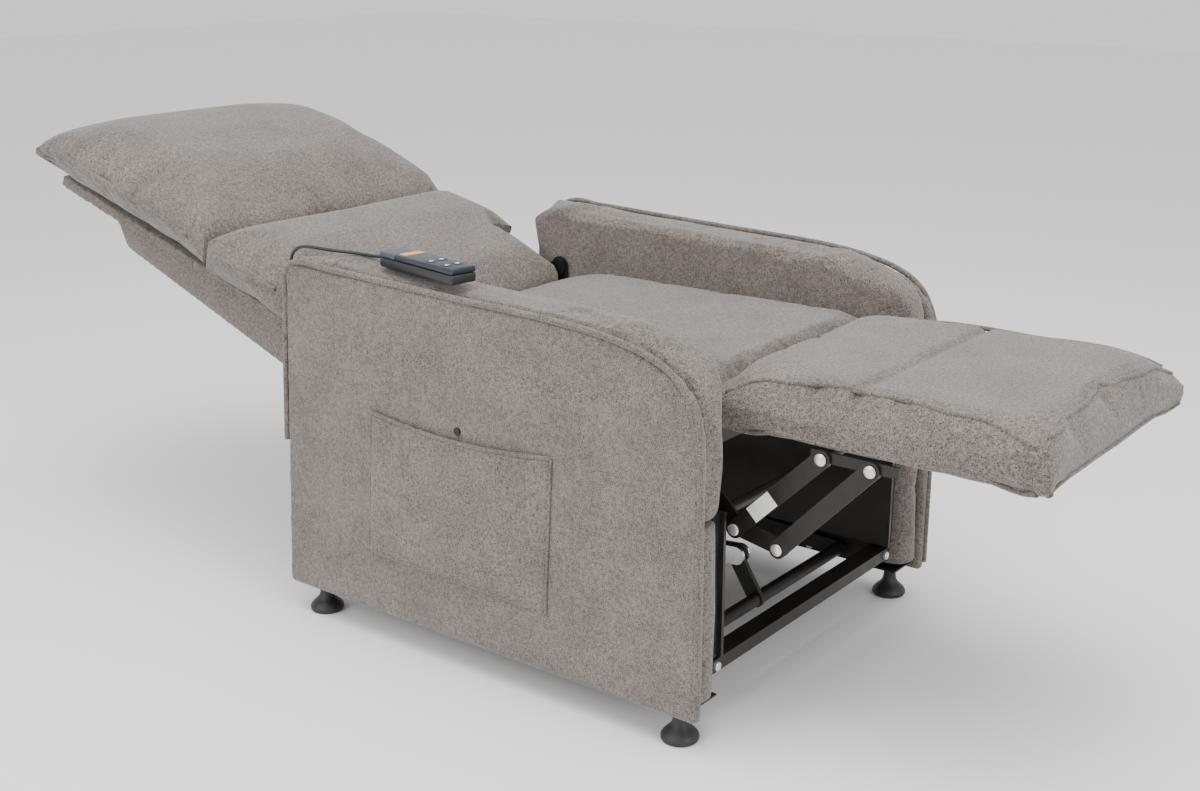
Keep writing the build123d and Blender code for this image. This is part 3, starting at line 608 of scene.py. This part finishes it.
border = tube("pocket_seam", edge_points, 0.0022, piping)
for part in (pocket, hem, border):
    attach(part, "chassis")
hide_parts("side_pocket")

# ---- Handset ----
# Two moulded halves, with a slate end, an orange band and four keys with plain arrows.
handset_turn = math.radians(-10)
handset_middle = place(-0.308, 0.522, 0.0)
slate = mottled_finish("slate_end", (0.045, 0.065, 0.085), (0.06, 0.085, 0.11), 80, (0.35, 0.45))
navy = mottled_finish("navy_face", (0.012, 0.017, 0.026), (0.02, 0.027, 0.04), 80, (0.28, 0.4))
orange = mottled_finish("orange_band", (0.62, 0.33, 0.06), (0.75, 0.42, 0.09), 90, (0.4, 0.5))
white = mottled_finish("printed_white", (0.72, 0.72, 0.7), (0.85, 0.85, 0.83), 200, (0.45, 0.55))


def handset_block(name, along, across, low_z, high_z, length, width, radius, finish):
    """A rounded block on the handset. Along runs from its middle towards its cord."""
    deselect()
    bpy.ops.mesh.primitive_cube_add(size=1, location=(across, along, (low_z + high_z) / 2))
    block = bpy.context.object
    block.scale = (width, length, high_z - low_z)
    settle(block, name)
    bpy.ops.object.mode_set(mode="EDIT")
    bpy.ops.mesh.select_all(action="SELECT")
    bpy.ops.mesh.bevel(offset=radius, segments=4, profile=0.5)
    bpy.ops.object.mode_set(mode="OBJECT")
    block.data.transform(Matrix.Translation(handset_middle) @ Matrix.Rotation(handset_turn, 4, "Z"))
    bpy.ops.object.shade_smooth_by_angle(angle=math.radians(35))
    paint(block, finish)
    return block


case_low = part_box("handset_lower_case")[0][2]
case_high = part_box("handset_upper_case")[1][2]
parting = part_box("handset_lower_case")[1][2]
lower = handset_block("handset_base", 0, 0, case_low, parting - 0.0003, 0.180, 0.046, 0.0035, black_plastic)
upper = handset_block("handset_face", -0.020, 0, parting, case_high, 0.140, 0.0455, 0.0028, navy)
end_cap = handset_block("handset_end", 0.0705, 0, parting, case_high + 0.0004, 0.038, 0.0455, 0.0028, slate)
band = handset_block("handset_band", 0.042, 0.004, parting + 0.004, case_high + 0.0005,
                     0.017, 0.036, 0.0012, orange)
for part in (lower, upper, end_cap, band):
    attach(part, "chassis")
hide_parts("handset_lower_case")
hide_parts("handset_upper_case")
for key, turn in (("back_up", 0), ("back_down", 180), ("legrest_up", 0), ("legrest_down", 180)):
    node = f"{key}_button"
    key_low, key_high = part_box(node)
    middle = (Vector(key_low) + Vector(key_high)) / 2
    deselect()
    bpy.ops.mesh.primitive_cone_add(vertices=3, radius1=0.0042, radius2=0.0038, depth=0.0007)
    arrow = bpy.context.object
    arrow.rotation_euler = (0, 0, math.radians(turn) + handset_turn)
    arrow.location = (middle.x, middle.y, key_high[2] + 0.0003)
    settle(arrow, f"{key}_arrow")
    paint(arrow, white)
    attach(arrow, node)
    paint(frame["nodes"][node], navy)

# ---- Mechanism ----
# Pressed and welded steel in black paint, riveted together with bright zinc rivets.
# Boards, springs, motors and feet keep the CAD's own shapes, each in its own finish.
painted = mottled_finish("painted_steel", (0.010, 0.009, 0.008), (0.022, 0.019, 0.017), 45,
                         (0.32, 0.52), 0.3)
board = mottled_finish("black_board", (0.012, 0.010, 0.009), (0.026, 0.021, 0.018), 24, (0.3, 0.6))
wood = mottled_finish("plywood", (0.30, 0.20, 0.11), (0.45, 0.32, 0.19), 30, (0.6, 0.75))
spring = mottled_finish("spring_steel", (0.20, 0.20, 0.21), (0.34, 0.34, 0.35), 90, (0.28, 0.4), 0.9)
zinc = mottled_finish("zinc_plate", (0.62, 0.60, 0.54), (0.80, 0.78, 0.72), 220, (0.25, 0.4), 0.75)
chrome = mottled_finish("rod_chrome", (0.55, 0.55, 0.56), (0.70, 0.70, 0.71), 120, (0.12, 0.22), 0.95)
tube_grey = mottled_finish("tube_grey", (0.09, 0.09, 0.095), (0.14, 0.14, 0.145), 60, (0.35, 0.5), 0.4)
foot_rubber = mottled_finish("foot_plastic", (0.010, 0.010, 0.010), (0.020, 0.019, 0.019), 70, (0.42, 0.6))
paper = mottled_finish("blank_paper", (0.66, 0.67, 0.65), (0.80, 0.80, 0.78), 120, (0.5, 0.65))
finish_by_slot = {
    "upholstery": chenille, "black_steel": painted, "black_board": board, "plywood": wood,
    "spring_steel": spring, "zinc": zinc, "rod_steel": chrome, "tube_grey": tube_grey,
    "foot_plastic": foot_rubber, "black_plastic": black_plastic, "handset_face": navy,
    "button_white": navy, "label": paper,
}
for part in frame["record"]["subparts"]:
    paint(frame["nodes"][part["node"]], finish_by_slot[part["material_slot"]])
for node in ("back_frame", "pocket_snap", "recline_hinges"):
    paint(frame["nodes"][node], painted)


def dome(name, centre, radius, height, axis, finish, body):
    """A domed rivet or bolt head."""
    deselect()
    bpy.ops.mesh.primitive_uv_sphere_add(segments=24, ring_count=14, radius=1)
    head = bpy.context.object
    head.scale = (height, radius, radius) if axis == 0 else (radius, height, radius)
    head.location = centre
    settle(head, name)
    bpy.ops.object.shade_smooth()
    paint(head, finish)
    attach(head, body)


rivets = (("crank", 0.082, 0.373, "chassis", 0.2335),
          ("rear_knee", 0.014, 0.303, "legrest_rear_links", 0.2425),
          ("front_knee", -0.056, 0.290, "legrest_front_links", 0.2425),
          ("rear_lug", -0.118, 0.434, "legrest_rear_links", 0.2425),
          ("front_lug", -0.191, 0.433, "legrest_front_links", 0.2425))
for side, sign in (("right", -1), ("left", 1)):
    for name, d, z, body, layer in rivets:
        dome(f"{side}_{name}_rivet", place(sign * layer, d, z), 0.0088, 0.0028, 0, zinc, body)
        if name != "crank":
            dome(f"{side}_{name}_rivet_back", place(sign * 0.2264, d, z), 0.0080, 0.0022, 0, zinc,
                 "legrest_main_links" if "knee" in name else "legrest")
    dome(f"{side}_crossbar_bolt", place(sign * 0.256, 0.0245, 0.095), 0.0072, 0.003, 1, zinc,
         "base")

# ---- Floor and light ----
# A pale floor, a large soft light overhead and weaker ones at the side and in front.
deselect()
bpy.ops.mesh.primitive_plane_add(size=24, location=(0, 0, -0.0005))
floor = bpy.context.object
floor.name = "floor"
paint(floor, new_finish("pale_floor", (0.93, 0.93, 0.93), 0.85)[0])
world = bpy.data.worlds.new("studio")
world.use_nodes = True
world.node_tree.nodes["Background"].inputs["Color"].default_value = (1.0, 1.0, 1.0, 1)
world.node_tree.nodes["Background"].inputs["Strength"].default_value = 1.0
bpy.context.scene.world = world
for name, spot, size, power in (("overhead", (-0.6, -0.4, 3.2), 2.6, 95),
                                ("left", (-3.2, 0.6, 1.9), 2.0, 45),
                                ("front", (-0.6, -3.4, 1.8), 2.2, 42)):
    light_data = bpy.data.lights.new(name, "AREA")
    light_data.size = size
    light_data.energy = power
    light = bpy.data.objects.new(name, light_data)
    light.location = spot
    light.rotation_euler = (Vector((0, 0.1, 0.35)) - Vector(spot)).to_track_quat("-Z", "Y").to_euler()
    bpy.context.scene.collection.objects.link(light)
